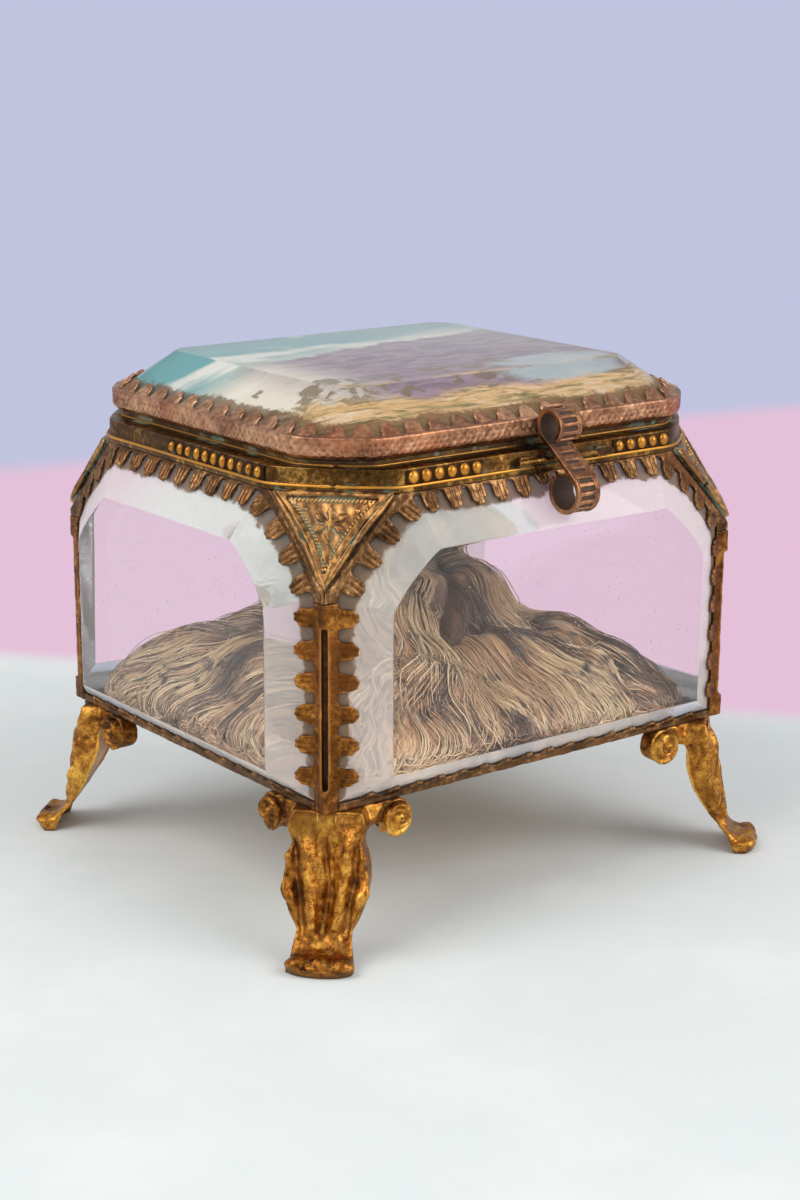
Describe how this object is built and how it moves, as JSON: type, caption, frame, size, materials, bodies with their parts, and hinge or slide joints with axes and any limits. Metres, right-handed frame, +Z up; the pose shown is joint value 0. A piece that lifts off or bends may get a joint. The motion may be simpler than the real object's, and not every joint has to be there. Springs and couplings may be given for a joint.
{
  "type": "jewelry box",
  "caption": "Footed trinket casket: bevelled glass panes in pronged brass strips, hinged bevelled lid over a printed sheet, sprung scroll clasp and tufted silk cushion.",
  "frame": {"origin": "on the floor, under the middle of the casket body", "axes": "+X along the clasp side, to the right seen from the clasp; +Y towards the hinge; +Z up"},
  "size_m": [0.0914, 0.0834, 0.0773],
  "materials": {
    "gallery_brass": "worn gilt brass strip with brown pitting",
    "band_brass": "dark gilt brass with green traces in the hollows",
    "foot_brass": "bright cast gilt brass with dark pits",
    "lid_brass": "reddish brown patinated brass",
    "base_brass": "plain sheet brass",
    "pane_glass": "clear ground and polished glass",
    "lid_glass": "clear ground and polished glass",
    "lid_print": null,
    "silk": "worn taupe silk with loose threads"
  },
  "bodies": {
    "casket": {"corner_post_fl": "gallery_brass", "corner_post_fr": "gallery_brass", "corner_post_bl": "gallery_brass", "corner_post_br": "gallery_brass", "top_rail_front": "gallery_brass", "top_rail_back": "gallery_brass", "top_rail_left": "gallery_brass", "top_rail_right": "gallery_brass", "bottom_rail_front": "gallery_brass", "bottom_rail_back": "gallery_brass", "bottom_rail_left": "gallery_brass", "bottom_rail_right": "gallery_brass", "spandrel_fl": "band_brass", "spandrel_fr": "band_brass", "spandrel_bl": "band_brass", "spandrel_br": "band_brass", "foot_fl": "foot_brass", "foot_fr": "foot_brass", "foot_bl": "foot_brass", "foot_br": "foot_brass", "pane_front": "pane_glass", "pane_back": "pane_glass", "pane_left": "pane_glass", "pane_right": "pane_glass", "bead_strip_front_left": "band_brass", "bead_strip_front_right": "band_brass", "bead_strip_left": "band_brass", "bead_strip_right": "band_brass", "top_frame": "band_brass", "base_plate": "base_brass", "cushion": "silk", "hinge_leaf_body": "band_brass", "hinge_pin": "band_brass", "catch_wire": "band_brass"},
    "lid": {"lid_rim": "lid_brass", "lid_glass": "lid_glass", "lid_print": "lid_print", "hinge_leaf_lid": "lid_brass", "clasp_cradle": "lid_brass"},
    "clasp": {"clasp": "lid_brass"}
  },
  "joints": [
    {"name": "lid_hinge", "type": "hinge", "parent": "casket", "child": "lid", "pos_m": [0, 0.03585, 0.06837], "axis": [-1, 0, 0], "range_deg": [0, 105]},
    {"name": "clasp_flex", "type": "hinge", "parent": "lid", "child": "clasp", "pos_m": [0.002, -0.03519, 0.07112], "axis": [-1, 0, 0], "range_deg": [0, 15], "stiffness_Nm_per_rad": 0.02}
  ]
}
